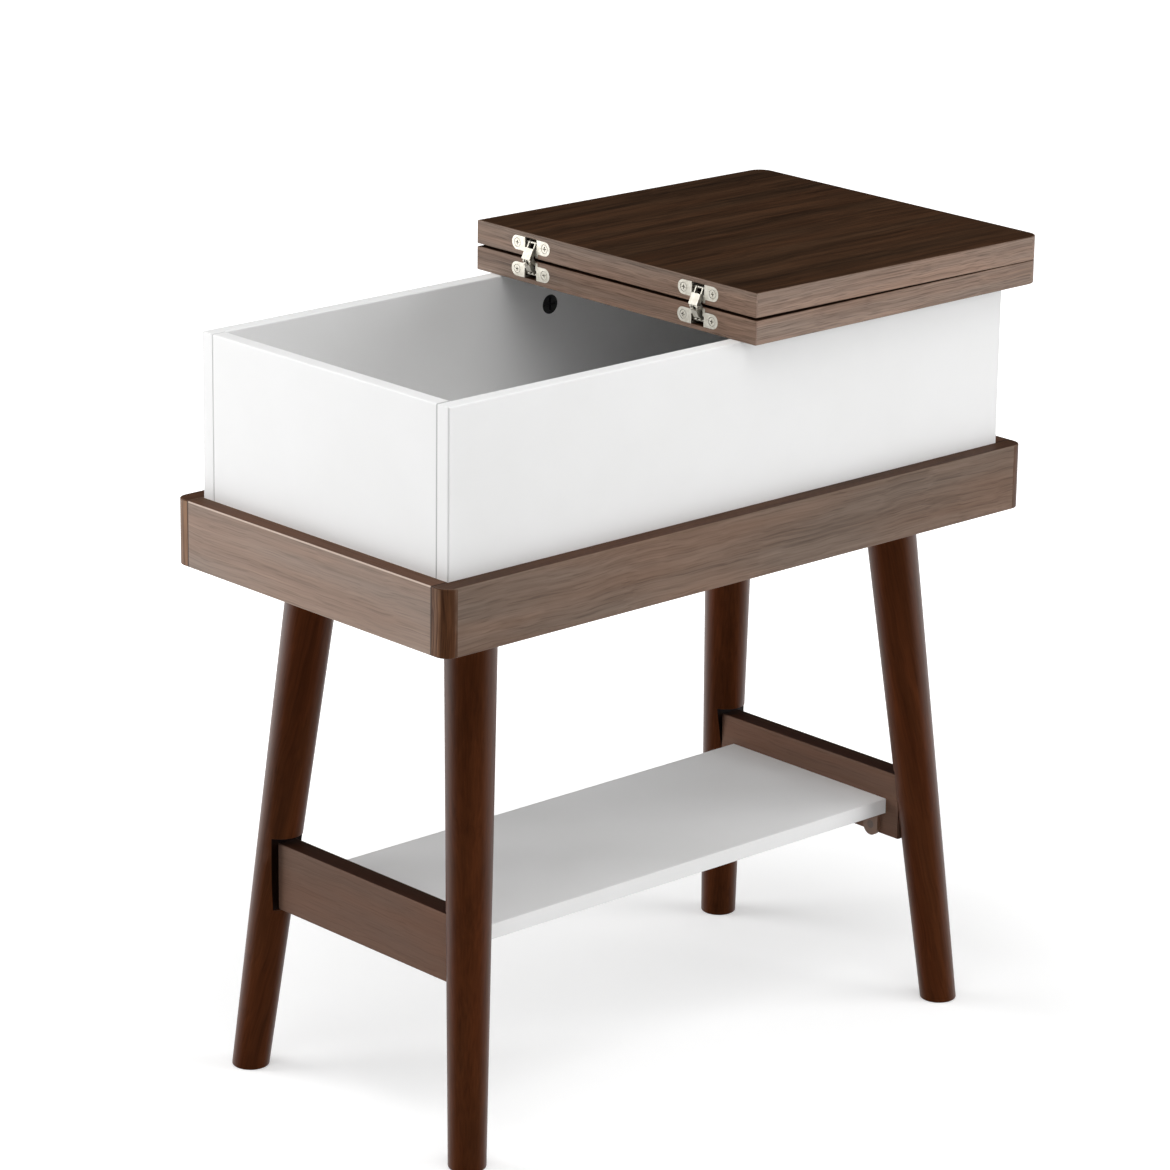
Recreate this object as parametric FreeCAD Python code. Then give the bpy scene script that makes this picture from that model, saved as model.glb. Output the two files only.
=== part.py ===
import FreeCAD
import Part
import math
import os

V = FreeCAD.Vector
X, Y, Z = V(1, 0, 0), V(0, 1, 0), V(0, 0, 1)
near = 0.001                     # how close two places are when they count as the same

# A flip-top end table. X runs along its length, Y to the back, Z up from the floor, in millimetres.
# The pieces are placed round the middle of the tray, and moved at the end so that the origin is the
# middle of the footprint of the table as it stands with its top folded.

# Top
top_length = 600.0               # both leaves end to end, when the top is closed
top_width = 300.0
leaf_thickness = 18.0
leaf_corner_r = 12.0             # plan rounding of the outer corners
edge_band = 1.0                  # glued strips round the leaves and on the apron ends
leaf_ease = 0.6                  # rounding of the leaf rims
hinge_seam = 1.5                 # gap between the two leaves when closed
fold_gap = 2.2                   # gap between the leaves at the hinge when folded
fold_rest_gap = 0.2              # gap between them at the outer end when folded

# Tray
tray_length = 580.0
tray_width = 300.0
tray_bottom_z = 398.0
apron_height = 50.0
apron_thickness = 15.0
apron_corner_r = 10.0
apron_ease = 0.8

# Box
box_rise = 124.0                 # how far the box stands above the tray
panel_thickness = 12.0
panel_ease = 1.2
seam_ease = 0.4                  # upright edges where boards of the box and tray meet
floor_thickness = 12.0
floor_lift = 15.0                # underside of the box floor above the underside of the tray

# Legs
leg_inset_x = 80.5               # leg axis at the underside of the box floor, from the tray's end
leg_inset_y = 65.5               # and from the tray's long side
leg_splay_x = 35.5               # how far a foot stands out from there
leg_splay_y = 39.5
foot_d = 28.0
head_d = 39.0
foot_ease = 1.5
leg_drop = 8.0                   # top of the leg below the box floor, along the leg
plate_size = 60.0
plate_thickness = 2.5
plate_corner_r = 8.0
plate_boss_d = 30.0
plate_screw_inset = 7.0
hanger_d = 8.0
hanger_in_leg = 35.0
hanger_in_plate = 7.0

# Lower shelf and stretchers
stretcher_thickness = 18.0
stretcher_height = 52.0
stretcher_bottom_z = 130.0
stretcher_ease = 1.2
stretcher_end_gap = 11.0         # end of the stretcher short of the legs' axes
stretcher_inset = 3.0            # middle of the stretcher inside the legs' axes
housing_play = 0.2               # play of the stretcher in the leg's notch
notch_above = 5.0                # height of the leg's notch above the stretcher
shelf_thickness = 12.0
shelf_depth = 170.0
shelf_drop = 22.0                # top of the shelf below the top of the stretchers
shelf_ease = 0.8
bracket_inset = 13.0             # bracket centre from the long edge of the shelf
bracket_width = 15.0
bracket_leg = 20.5
bracket_thickness = 3.0

# Fasteners
dowel_d = 6.0
dowel_length = 24.0
stretcher_dowel_d = 8.0
stretcher_dowel_length = 28.0
stretcher_dowel_spacing = 22.0
dowel_in_leg = 11.0
cam_d = 15.0
cam_depth = 9.5
cam_setback = 30.0               # cam centre from the edge that the bolt enters
cam_slot_width = 1.6
cam_slot_depth = 1.5
bolt_d = 6.0
bolt_play = 0.4                  # radial room of a cam bolt in its hole
bolt_thread_d = 5.0
bolt_thread_length = 8.0
bolt_past_cam = 2.5              # end of the bolt past the cam's centre
corner_cam_z_inset = 38.0        # corner cams from the top and the floor of the box
leaf_cam_inset = 50.0            # cams under the fixed leaf from its hinge edge and the box end
leaf_dowel_inset = 110.0         # dowels under the fixed leaf from its hinge edge and the box end
end_dowel_inset = 65.0           # dowels over the right panel from the inside of the box
fit_play = 0.05                  # radial play of dowels, studs and pins in their holes
screw_d = 3.5
screw_head_d = 6.8
screw_head_h = 2.0
floor_screw_length = 36.0
floor_screw_inset = 60.0         # end screws of each long side from the box corner
floor_screw_end_inset = 55.0     # end screws of each short side from the box corner
apron_screw_length = 22.0
apron_screw_inset = 90.0
apron_screw_end_inset = 40.0
short_screw_length = 10.0        # leg plates and shelf brackets

# Folding hinges, measured from the fold axis: in is into the leaf, drop is away from the mating face
hinge_inset = 60.0               # hinge centre from the long edge of the leaf
hinge_length = 42.0
hinge_height = 11.0
ear_thickness = 2.0
ear_screw_spacing = 30.0
hinge_screw_d = 3.0
hinge_screw_head_d = 6.4
hinge_screw_head_h = 1.7
hinge_screw_length = 13.0
recess_length = 3.4              # cross recess of the hinge screws
recess_width = 0.7
recess_depth = 1.1
screw_groove = 0.3               # open ring in the ears round each screw head
screw_groove_depth = 0.6
cup_slot = 13.0                  # inside width of the cup
cup_cheek = 1.3
cup_depth = 14.6
cup_back = 1.4
lip_gap = 10.4                   # width left between the lips of the ears, beside the arms
lip_height = 3.4
pivot_in, pivot_drop = 2.2, 3.6
knee_out = 2.6                   # knee from the fold axis, folded
slide_in, slide_drop = 3.5, 12.0
arm_half_width = 1.3
arm_plate = 1.2
arm_plate_gap = 0.3
lower_plate_y = 4.1              # outside of the lower arm's plates from the middle of the hinge
lower_web = 9.0                  # width of the lower arm's face plate
lower_web_span = (-1.8, 7.0)     # its ends from the knee, along the arm
upper_web = 5.6
upper_web_span = (1.9, 8.2)
arm_web = 1.0                    # thickness of the face plates
arm_web_out = 2.5                # outside of a face plate from the middle of its arm
pin_d = 1.8
rivet_d = 1.2
rivet_head_d = 2.4
rivet_head = 0.4
rivet_play = 0.4                 # room round the rivet in the slot of the lower arm
slide_play = 1.0                 # room round the slide pins in the slots of the cheeks
knee_wall = 0.6                  # metal round the slot of the lower arm
arm_room = 0.4                   # room round the arms in the leaf

# Places worked out from the sizes
tray_top_z = tray_bottom_z + apron_height
box_length = tray_length - 2 * apron_thickness
box_width = tray_width - 2 * apron_thickness
box_top_z = tray_top_z + box_rise
box_inner_x = box_length / 2 - panel_thickness
box_inner_y = box_width / 2 - panel_thickness
floor_bottom_z = tray_bottom_z + floor_lift
floor_top_z = floor_bottom_z + floor_thickness
head_x = tray_length / 2 - leg_inset_x
head_y = tray_width / 2 - leg_inset_y
foot_x = head_x + leg_splay_x
foot_y = head_y + leg_splay_y
leaf_edge_x = hinge_seam / 2
leaf_end_x = top_length / 2
leaf_top_z = box_top_z + leaf_thickness
axis_z = leaf_top_z + fold_gap / 2
fold_angle = 180 + math.degrees(math.atan2(fold_gap - fold_rest_gap, leaf_end_x - leaf_edge_x))
footprint_shift = -(leaf_end_x - tray_length / 2) / 2
hinge_y = top_width / 2 - hinge_inset
stretcher_mid_z = stretcher_bottom_z + stretcher_height / 2
shelf_top_z = stretcher_bottom_z + stretcher_height - shelf_drop
shelf_bottom_z = shelf_top_z - shelf_thickness
corners = [(sx, sy) for sx in (-1, 1) for sy in (-1, 1)]


# Shapes used all over

def box(x0, x1, y0, y1, z0, z1):
    return Part.makeBox(x1 - x0, y1 - y0, z1 - z0, V(x0, y0, z0))


def rod(start, direction, diameter, length):
    return Part.makeCylinder(diameter / 2, length, start, direction)


def joined(first, *rest):
    shape = first
    for other in rest:
        shape = shape.fuse(other)
    return shape.removeSplitter()


def cut(shape, tools):
    for tool in tools:
        shape = shape.cut(tool)
    return shape


def eased(shape, radius, chosen):
    return shape.makeFillet(radius, [edge for edge in shape.Edges if chosen(edge.BoundBox)])


def upright(bounds):
    return bounds.ZLength > near and bounds.XLength < near and bounds.YLength < near


def outer(bounds, way, reach):
    """Upright, and at least so far from the middle of the table along X or along Y."""
    ends = [abs(getattr(bounds, way + end)) for end in ("Min", "Max")]
    return upright(bounds) and max(ends) > reach


def level(bounds):
    return bounds.ZLength < near


def stadium(p, q, half_width, y0, y1):
    """A bar with round ends from p to q in the XZ plane, p and q as (x, z) pairs, between y0 and y1."""
    start, end = V(p[0], y0, p[1]), V(q[0], y0, q[1])
    along = (end - start).normalize() * half_width
    side = V(-along.z, 0, along.x)
    edges = [
        Part.LineSegment(start + side, end + side).toShape(),
        Part.Arc(end + side, end + along, end - side).toShape(),
        Part.LineSegment(end - side, start - side).toShape(),
        Part.Arc(start - side, start - along, start + side).toShape(),
    ]
    return Part.Face(Part.Wire(edges)).extrude(Y * (y1 - y0))


def screw(head, direction, diameter, length, head_diameter, head_height):
    """A countersunk screw: head is the centre of its flat top, direction the way that it is driven."""
    cone = Part.makeCone(head_diameter / 2, diameter / 2, head_height, head, direction)
    return joined(cone, rod(head, direction, diameter, length))


def wood_screw(head, direction, length):
    return screw(head, direction, screw_d, length, screw_head_d, screw_head_h)


# Legs, with their mounting plates and bolts

def leg_axis(sx, sy):
    foot = V(sx * foot_x, sy * foot_y, 0)
    head = V(sx * head_x, sy * head_y, floor_bottom_z)
    return foot, head, (head - foot).normalize()


def leg_place(z):
    """Centre of a leg at height z, as distances from the middle of the table."""
    share = z / floor_bottom_z
    return foot_x + (head_x - foot_x) * share, foot_y + (head_y - foot_y) * share


stretcher_leg_x, stretcher_leg_y = leg_place(stretcher_mid_z)
stretcher_x = stretcher_leg_x - stretcher_inset
stretcher_end_y = stretcher_leg_y - stretcher_end_gap
stretcher_inner_x = stretcher_x - stretcher_thickness / 2


def hanger_bolt(sx, sy, play):
    foot, head, up = leg_axis(sx, sy)
    length = hanger_in_leg + hanger_in_plate
    return rod(head - up * (leg_drop + hanger_in_leg + play), up, hanger_d + 2 * play, length + play)


def stretcher_dowels(sx, sy, play):
    places = [stretcher_mid_z + side * stretcher_dowel_spacing / 2 for side in (-1, 1)]
    start_y = sy * (stretcher_end_y + dowel_in_leg + play)
    diameter = stretcher_dowel_d + 2 * play
    length = stretcher_dowel_length + 2 * play
    return [rod(V(sx * stretcher_x, start_y, z), Y * -sy, diameter, length) for z in places]


def leg(sx, sy):
    """A tapered leg with a flat notch right across it, where the end of a stretcher sits."""
    foot, head, up = leg_axis(sx, sy)
    length = (head - foot).Length - leg_drop
    below = foot_d                     # the cone starts this far under the floor, and is cut level
    growth = (head_d - foot_d) / length
    low_r = (foot_d - growth * below) / 2
    shape = Part.makeCone(low_r, head_d / 2, length + below, foot - up * below, up)
    shape = shape.cut(box(-tray_length, tray_length, -tray_width, tray_width, -2 * below, 0))
    shape = eased(shape, foot_ease, lambda b: b.ZMax < near)
    inner_y, outer_y = sorted((0, sy * (stretcher_end_y + housing_play)))
    notch = box(
        sx * stretcher_x - head_d, sx * stretcher_x + head_d, inner_y, outer_y,
        stretcher_bottom_z - housing_play, stretcher_bottom_z + stretcher_height + notch_above)
    return cut(shape, [notch, hanger_bolt(sx, sy, fit_play)] + stretcher_dowels(sx, sy, fit_play))


def leg_plate_screws():
    reach = plate_size / 2 - plate_screw_inset
    z = floor_bottom_z - plate_thickness
    places = [V(sx * head_x + dx * reach, sy * head_y + dy * reach, z)
              for sx, sy in corners for dx, dy in corners]
    return [wood_screw(place, Z, short_screw_length) for place in places]


def leg_plate(sx, sy):
    foot, head, up = leg_axis(sx, sy)
    x, y, half = sx * head_x, sy * head_y, plate_size / 2
    flange = box(x - half, x + half, y - half, y + half, floor_bottom_z - plate_thickness, floor_bottom_z)
    flange = eased(flange, plate_corner_r, upright)
    boss = rod(head - up * leg_drop, up, plate_boss_d, 2 * leg_drop)
    boss = boss.cut(box(x - half, x + half, y - half, y + half, floor_bottom_z, box_top_z))
    return cut(joined(flange, boss), leg_plate_screws() + [hanger_bolt(sx, sy, fit_play)])


# Stretchers, shelf and brackets

def bracket_places():
    bracket_y = shelf_depth / 2 - bracket_inset
    return [(sx, sx * stretcher_inner_x, sy * bracket_y) for sx, sy in corners]


def bracket_screws():
    screws = []
    for sx, x, y in bracket_places():
        leg_mid = (bracket_leg + bracket_thickness) / 2
        side_head = V(x - sx * bracket_thickness, y, shelf_bottom_z - leg_mid)
        under_head = V(x - sx * leg_mid, y, shelf_bottom_z - bracket_thickness)
        screws.append(wood_screw(side_head, X * sx, short_screw_length))
        screws.append(wood_screw(under_head, Z, short_screw_length))
    return screws


def bracket(sx, x, y):
    """An angle bracket with one leg on the stretcher, round at its lower end, and one under the shelf."""
    half = bracket_width / 2
    low_z = shelf_bottom_z - bracket_leg
    x0, x1 = sorted((x, x - sx * bracket_thickness))
    far_x0, far_x1 = sorted((x, x - sx * bracket_leg))
    side = joined(
        box(x0, x1, y - half, y + half, low_z + half, shelf_bottom_z),
        rod(V(x0, y, low_z + half), X, bracket_width, bracket_thickness))
    under = box(far_x0, far_x1, y - half, y + half, shelf_bottom_z - bracket_thickness, shelf_bottom_z)
    return cut(joined(side, under), bracket_screws())


def stretcher(sx):
    x = sx * stretcher_x
    half = stretcher_thickness / 2
    top_z = stretcher_bottom_z + stretcher_height
    shape = box(x - half, x + half, -stretcher_end_y, stretcher_end_y, stretcher_bottom_z, top_z)
    shape = eased(shape, stretcher_ease, lambda b: level(b) and b.YLength > b.XLength)
    dowels = stretcher_dowels(sx, -1, fit_play) + stretcher_dowels(sx, 1, fit_play)
    return cut(shape, dowels + bracket_screws())


def shelf():
    half = shelf_depth / 2
    shape = box(-stretcher_inner_x, stretcher_inner_x, -half, half, shelf_bottom_z, shelf_top_z)
    shape = eased(shape, shelf_ease, lambda b: level(b) and b.XLength > b.YLength)
    return cut(shape, bracket_screws())


# Box fasteners

def cam_sets():
    """Cam centre on the panel's inner face, direction into that panel, and direction of its bolt."""
    sets = []
    for z in (floor_top_z + corner_cam_z_inset, box_top_z - corner_cam_z_inset):
        for sx, sy in corners:
            sets.append((V(sx * box_inner_x, sy * (box_inner_y - cam_setback), z), X * sx, Y * sy))
    for x in (leaf_edge_x + leaf_cam_inset, box_length / 2 - leaf_cam_inset):
        for sy in (-1, 1):
            sets.append((V(x, sy * box_inner_y, box_top_z - cam_setback), Y * sy, Z))
    return sets


def cam_bolt(centre, inward, along, play):
    middle = centre + inward * (panel_thickness / 2)
    shank = rod(middle - along * (bolt_past_cam + play), along, bolt_d + 2 * play,
                cam_setback + bolt_past_cam + play)
    thread = rod(middle + along * cam_setback, along, bolt_thread_d, bolt_thread_length)
    return joined(shank, thread)


def cam_lock(centre, inward, along):
    """A round cam with a cross in its face, hollow where the bolt's end sits."""
    body = rod(centre, inward, cam_d, cam_depth)
    across = inward.cross(along)
    arm_a, arm_b = along * (cam_d / 3), across * (cam_d / 3)
    half = cam_slot_width / 2
    slots = []
    for long_way, short_way in ((arm_a, across * half), (arm_b, along * half)):
        wire = Part.makePolygon([
            centre - long_way - short_way, centre + long_way - short_way,
            centre + long_way + short_way, centre - long_way + short_way,
            centre - long_way - short_way])
        slots.append(Part.Face(wire).extrude(inward * cam_slot_depth))
    return cut(body, slots + [cam_bolt(centre, inward, along, bolt_play)])


def box_dowels(play):
    half = dowel_length / 2 + play
    diameter = dowel_d + 2 * play
    depth = panel_thickness - dowel_d / 2      # how far a corner dowel enters the long panel
    mid = panel_thickness / 2
    corner_z = (floor_top_z + box_top_z) / 2
    dowels = []
    for sx, sy in corners:
        start = V(sx * (box_inner_x + mid), sy * (box_inner_y + depth + play), corner_z)
        dowels.append(rod(start, Y * -sy, diameter, 2 * half))
    for x in (leaf_edge_x + leaf_dowel_inset, box_length / 2 - leaf_dowel_inset):
        for sy in (-1, 1):
            dowels.append(rod(V(x, sy * (box_inner_y + mid), box_top_z - half), Z, diameter, 2 * half))
    for sy in (-1, 1):
        place = V(box_inner_x + mid, sy * (box_inner_y - end_dowel_inset), box_top_z - half)
        dowels.append(rod(place, Z, diameter, 2 * half))
    return dowels


def floor_screws():
    z = floor_bottom_z + floor_thickness / 2
    end_x = box_length / 2 - floor_screw_inset
    end_y = box_width / 2 - floor_screw_end_inset
    screws = []
    for side in (-1, 1):
        for x in (-end_x, 0, end_x):
            screws.append(wood_screw(V(x, side * box_width / 2, z), Y * -side, floor_screw_length))
        for y in (-end_y, end_y):
            screws.append(wood_screw(V(side * box_length / 2, y, z), X * -side, floor_screw_length))
    return screws


def apron_screws():
    z = tray_bottom_z + floor_lift / 2
    end_x = box_length / 2 - apron_screw_inset
    end_y = box_inner_y - apron_screw_end_inset
    screws = []
    for side in (-1, 1):
        for x in (-end_x, 0, end_x):
            screws.append(wood_screw(V(x, side * box_inner_y, z), Y * side, apron_screw_length))
        for y in (-end_y, end_y):
            screws.append(wood_screw(V(side * box_inner_x, y, z), X * side, apron_screw_length))
    return screws


def box_holes():
    """Everything that is bored out of the box's panels, its floor, the aprons and the fixed leaf."""
    holes = [rod(centre, inward, cam_d, cam_depth) for centre, inward, along in cam_sets()]
    holes += [cam_bolt(centre, inward, along, bolt_play) for centre, inward, along in cam_sets()]
    return holes + box_dowels(fit_play) + floor_screws() + apron_screws()


def bored(shape):
    bounds = shape.BoundBox
    return cut(shape, [hole for hole in box_holes() if hole.BoundBox.intersect(bounds)])


# Box and tray

def long_panel(sy):
    y0, y1 = sorted((sy * box_inner_y, sy * box_width / 2))
    shape = box(-box_length / 2, box_length / 2, y0, y1, tray_bottom_z, box_top_z)
    rim, outside = box_top_z - near, box_width / 2 - near
    shape = eased(shape, panel_ease, lambda b: outer(b, "Y", outside) or b.ZMin > rim and b.XLength > near)
    return bored(eased(shape, seam_ease, upright))


def end_panel(sx):
    x0, x1 = sorted((sx * box_inner_x, sx * box_length / 2))
    shape = box(x0, x1, -box_inner_y, box_inner_y, tray_bottom_z, box_top_z)
    rim, outside = box_top_z - near, box_length / 2 - near
    shape = eased(shape, panel_ease, lambda b: b.ZMin > rim and b.YLength > near)
    return bored(eased(shape, seam_ease, lambda b: outer(b, "X", outside)))


def box_floor():
    shape = box(-box_inner_x, box_inner_x, -box_inner_y, box_inner_y, floor_bottom_z, floor_top_z)
    return cut(bored(shape), leg_plate_screws())


def apron_board(sy):
    """A long apron with its ends rounded, before its end bands are split off."""
    y0, y1 = sorted((sy * box_width / 2, sy * tray_width / 2))
    half = tray_length / 2
    shape = box(-half, half, y0, y1, tray_bottom_z, tray_top_z)
    outer_y = sy * tray_width / 2
    shape = eased(shape, apron_corner_r, lambda b: upright(b) and abs(b.YMin - outer_y) < near)
    return eased(shape, apron_ease, level)


def apron_core(sy):
    """What the end bands leave of a long apron: the same rounded plan, one band shorter at each end."""
    y0, y1 = sorted((sy * box_width / 2, sy * tray_width / 2))
    half = tray_length / 2 - edge_band
    outer_y = sy * tray_width / 2
    shape = box(-half, half, y0, y1, tray_bottom_z, tray_top_z)
    return eased(shape, apron_corner_r, lambda b: upright(b) and abs(b.YMin - outer_y) < near)


def long_apron(sy):
    return bored(apron_board(sy).common(apron_core(sy)))


def apron_end_bands():
    bands = []
    for sy in (-1, 1):
        bands += apron_board(sy).cut(apron_core(sy)).Solids
    return bands


def end_apron(sx):
    x0, x1 = sorted((sx * box_length / 2, sx * tray_length / 2))
    shape = box(x0, x1, -box_width / 2, box_width / 2, tray_bottom_z, tray_top_z)
    outside = tray_length / 2 - near
    shape = eased(shape, apron_ease, lambda b: level(b) and b.YLength > b.XLength)
    return bored(eased(shape, seam_ease, lambda b: outer(b, "X", outside)))


# Folding hinges: points are (x, z) pairs from the fold axis, the cups are drawn in the fixed leaf

def fold_line(angle):
    """Direction of the plane that mirrors one leaf into the other, with the flip leaf turned by angle."""
    turn = math.radians(-90 - angle / 2)
    return math.cos(turn), math.sin(turn)


def reflected(p, angle):
    x, z = fold_line(angle)
    twice = 2 * (p[0] * x + p[1] * z)
    return twice * x - p[0], twice * z - p[1]


def turned(p, centre, degrees):
    a = math.radians(degrees)
    dx, dz = p[0] - centre[0], p[1] - centre[1]
    return (centre[0] + dx * math.cos(a) - dz * math.sin(a), centre[1] + dx * math.sin(a) + dz * math.cos(a))


def knee_at(angle):
    """Where the arm's circle about its pivot meets the mirror plane."""
    x, z = fold_line(angle)
    k = pivot[0] * x + pivot[1] * z
    reach = k + math.sqrt(k * k + arm_length ** 2 - pivot[0] ** 2 - pivot[1] ** 2)
    return reach * x, reach * z


def bearing(p):
    return math.degrees(math.atan2(p[1] - pivot[1], p[0] - pivot[0])) % 360


pivot = (pivot_in, -pivot_drop)
true_knee = tuple(knee_out * part for part in fold_line(fold_angle))
arm_length = math.dist(pivot, true_knee)
arm_swing = bearing(knee_at(0)) - bearing(true_knee)
arm_ratio = arm_swing / fold_angle
arm_lead = bearing(knee_at(fold_angle / 2)) - bearing(true_knee) - arm_swing / 2
knee = turned(true_knee, pivot, arm_lead)
upper_knee = reflected(knee, fold_angle)
upper_knee_closed = turned(reflected(turned(knee, pivot, arm_swing), 0), pivot, -arm_swing)
knee_slot_end = tuple((p + q) / 2 for p, q in zip(upper_knee, upper_knee_closed))
knee_slot_half = rivet_d / 2 + rivet_play
upper_pivot = reflected(pivot, fold_angle)
slide = (slide_in, -slide_drop)
lower_slide = reflected(slide, fold_angle)
slide_closed = reflected(turned(lower_slide, pivot, arm_swing), 0)
upper_plate_y = lower_plate_y - arm_plate - arm_plate_gap
ear_mid = -(fold_gap / 2 + leaf_thickness / 2)
ear_low, ear_high = ear_mid - hinge_height / 2, ear_mid + hinge_height / 2
cup_high = arm_half_width + arm_room - pivot_drop
cup_reach = cup_slot / 2 + cup_cheek
hinge_places = {"rear": hinge_y, "front": -hinge_y}


def at_hinge(shape, y):
    """From the fold axis to the hinge's own place."""
    return shape.translated(V(0, y, axis_z))


def folded(shape):
    """The flip leaf is the fixed leaf mirrored, closed, and then turned over onto it."""
    shape = shape.mirror(V(0, 0, 0), X)
    shape.rotate(V(0, 0, axis_z), Y, fold_angle)
    return shape


def ear_plate():
    half = hinge_length / 2 - hinge_height / 2
    ends = [rod(V(leaf_edge_x, side * half, ear_mid), X, hinge_height, ear_thickness) for side in (-1, 1)]
    return joined(box(leaf_edge_x, leaf_edge_x + ear_thickness, -half, half, ear_low, ear_high), *ends)


def cup_block():
    back_x = leaf_edge_x + cup_depth + cup_back
    return box(leaf_edge_x, back_x, -cup_reach, cup_reach, ear_low, cup_high)


def cup_hollow():
    """Inside of the cup, open through the ears except between their lips."""
    half, lip = cup_slot / 2, lip_gap / 2
    mouth_x, ear_x = leaf_edge_x, leaf_edge_x + ear_thickness
    back_x = leaf_edge_x + cup_depth
    inside = box(ear_x, back_x, -half, half, ear_low, cup_high)
    mouth = box(mouth_x, ear_x, -half, half, ear_low, ear_high - lip_height)
    return joined(inside, mouth, box(mouth_x, ear_x, -lip, lip, ear_low, cup_high))


def seam_notch():
    """Notch in the leaf's edge where the arms pass from one leaf to the other."""
    depth = pivot_in + arm_half_width + arm_room
    return box(leaf_edge_x, depth, -lip_gap / 2, lip_gap / 2, ear_high, 0)


def hinge_screws():
    screws = []
    for side in (-1, 1):
        head = V(leaf_edge_x, side * ear_screw_spacing / 2, ear_mid)
        shape = screw(head, X, hinge_screw_d, hinge_screw_length, hinge_screw_head_d, hinge_screw_head_h)
        screws.append(shape)
    return screws


def screw_grooves():
    """Rings in the ears that stand open round the heads of the screws."""
    wide = hinge_screw_head_d + 2 * screw_groove
    places = [V(leaf_edge_x, side * ear_screw_spacing / 2, ear_mid) for side in (-1, 1)]
    return [rod(place, X, wide, screw_groove_depth) for place in places]


def cross_recess(head_y):
    half_l, half_w = recess_length / 2, recess_width / 2
    end_x = leaf_edge_x + recess_depth
    flat = box(leaf_edge_x, end_x, head_y - half_l, head_y + half_l, ear_mid - half_w, ear_mid + half_w)
    tall = box(leaf_edge_x, end_x, head_y - half_w, head_y + half_w, ear_mid - half_l, ear_mid + half_l)
    return joined(flat, tall)


def cross_head_screws():
    sides = zip((-1, 1), hinge_screws())
    return [shape.cut(cross_recess(side * ear_screw_spacing / 2)) for side, shape in sides]


def cross_pin(place, diameter, reach):
    return rod(V(place[0], -reach, place[1]), Y, diameter, 2 * reach)


def hinge_cup():
    """Eared plate and cup, with the slot for the arms and the two slots that the slide pin runs in."""
    track = stadium(slide, slide_closed, pin_d / 2 + slide_play, -cup_reach, cup_reach)
    shape = joined(ear_plate(), cup_block())
    hollows = [cup_hollow(), track, cross_pin(pivot, pin_d, cup_reach)]
    return cut(shape, hollows + hinge_screws() + screw_grooves())


def mortise():
    return [ear_plate(), cup_block(), seam_notch()] + hinge_screws()


def arm(pin, bend, end, plate_y, web, web_span):
    """Two plates from the pin round the bend to the sliding end, behind a face plate on the outer side."""
    start, along = V(bend[0], 0, bend[1]), V(end[0] - bend[0], 0, end[1] - bend[1]).normalize()
    out = V(-along.z, 0, along.x)
    if out.x > 0:
        out = out * -1

    def slab(low, high, y0, y1):
        rim = [(web_span[0], low), (web_span[1], low), (web_span[1], high), (web_span[0], high)]
        points = [start + along * s + out * n + Y * y0 for s, n in rim]
        return Part.Face(Part.makePolygon(points + points[:1])).extrude(Y * (y1 - y0))

    solids = [slab(arm_web_out - arm_web, arm_web_out, -web / 2, web / 2)]
    for y0, y1 in ((-plate_y, arm_plate - plate_y), (plate_y - arm_plate, plate_y)):
        solids.append(stadium(pin, bend, arm_half_width, y0, y1))
        solids.append(stadium(bend, end, arm_half_width, y0, y1))
        solids.append(slab(arm_web, arm_web_out, y0, y1))
    pin_hole = cross_pin(pin, pin_d + 2 * fit_play, plate_y)
    return cut(joined(*solids), [pin_hole, cross_pin(end, pin_d, plate_y)])


def lower_arm():
    """The outer arm, with a slot for the rivet where the two arms cross."""
    shape = arm(pivot, knee, lower_slide, lower_plate_y, lower_web, lower_web_span)
    for y0, y1 in ((-lower_plate_y, arm_plate - lower_plate_y), (lower_plate_y - arm_plate, lower_plate_y)):
        shape = joined(shape, stadium(knee, knee_slot_end, knee_slot_half + knee_wall, y0, y1))
    return shape.cut(stadium(knee, knee_slot_end, knee_slot_half, -lower_plate_y, lower_plate_y))


def upper_arm():
    """The inner arm, the mirror image of the lower one, which carries the rivet."""
    shape = arm(upper_pivot, upper_knee, slide, upper_plate_y, upper_web, upper_web_span)
    return shape.cut(cross_pin(upper_knee, rivet_d, upper_plate_y))


def knee_rivet():
    reach = lower_plate_y + fit_play
    heads = []
    for side in (-1, 1):
        place = V(upper_knee[0], side * reach, upper_knee[1])
        heads.append(rod(place, Y * side, rivet_head_d, rivet_head))
    return joined(cross_pin(upper_knee, rivet_d, reach), *heads)


# Leaves

def leaf_slab():
    half = top_width / 2
    shape = box(leaf_edge_x, leaf_end_x, -half, half, box_top_z, leaf_top_z)
    shape = eased(shape, leaf_corner_r, lambda b: upright(b) and b.XMin > leaf_end_x - near)
    return eased(shape, leaf_ease, level)


def leaf_core_space():
    half = top_width / 2 - edge_band
    end_x = leaf_end_x - edge_band
    shape = box(leaf_edge_x + edge_band, end_x, -half, half, box_top_z, leaf_top_z)
    return eased(shape, leaf_corner_r - edge_band, lambda b: upright(b) and b.XMin > end_x - near)


def leaf_pieces():
    """Core, hinge-side strip and strip round the other three sides, mortised for the hinges."""
    slab, core_space = leaf_slab(), leaf_core_space()
    half = top_width / 2
    strip_space = box(leaf_edge_x, leaf_edge_x + edge_band, -half, half, box_top_z, leaf_top_z)
    tools = [at_hinge(tool, y) for y in hinge_places.values() for tool in mortise()]
    strip = cut(slab.common(strip_space), tools)
    core = cut(slab.common(core_space), tools)
    return core, strip, slab.cut(strip_space).cut(core_space)


# The table's pieces by name

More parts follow.
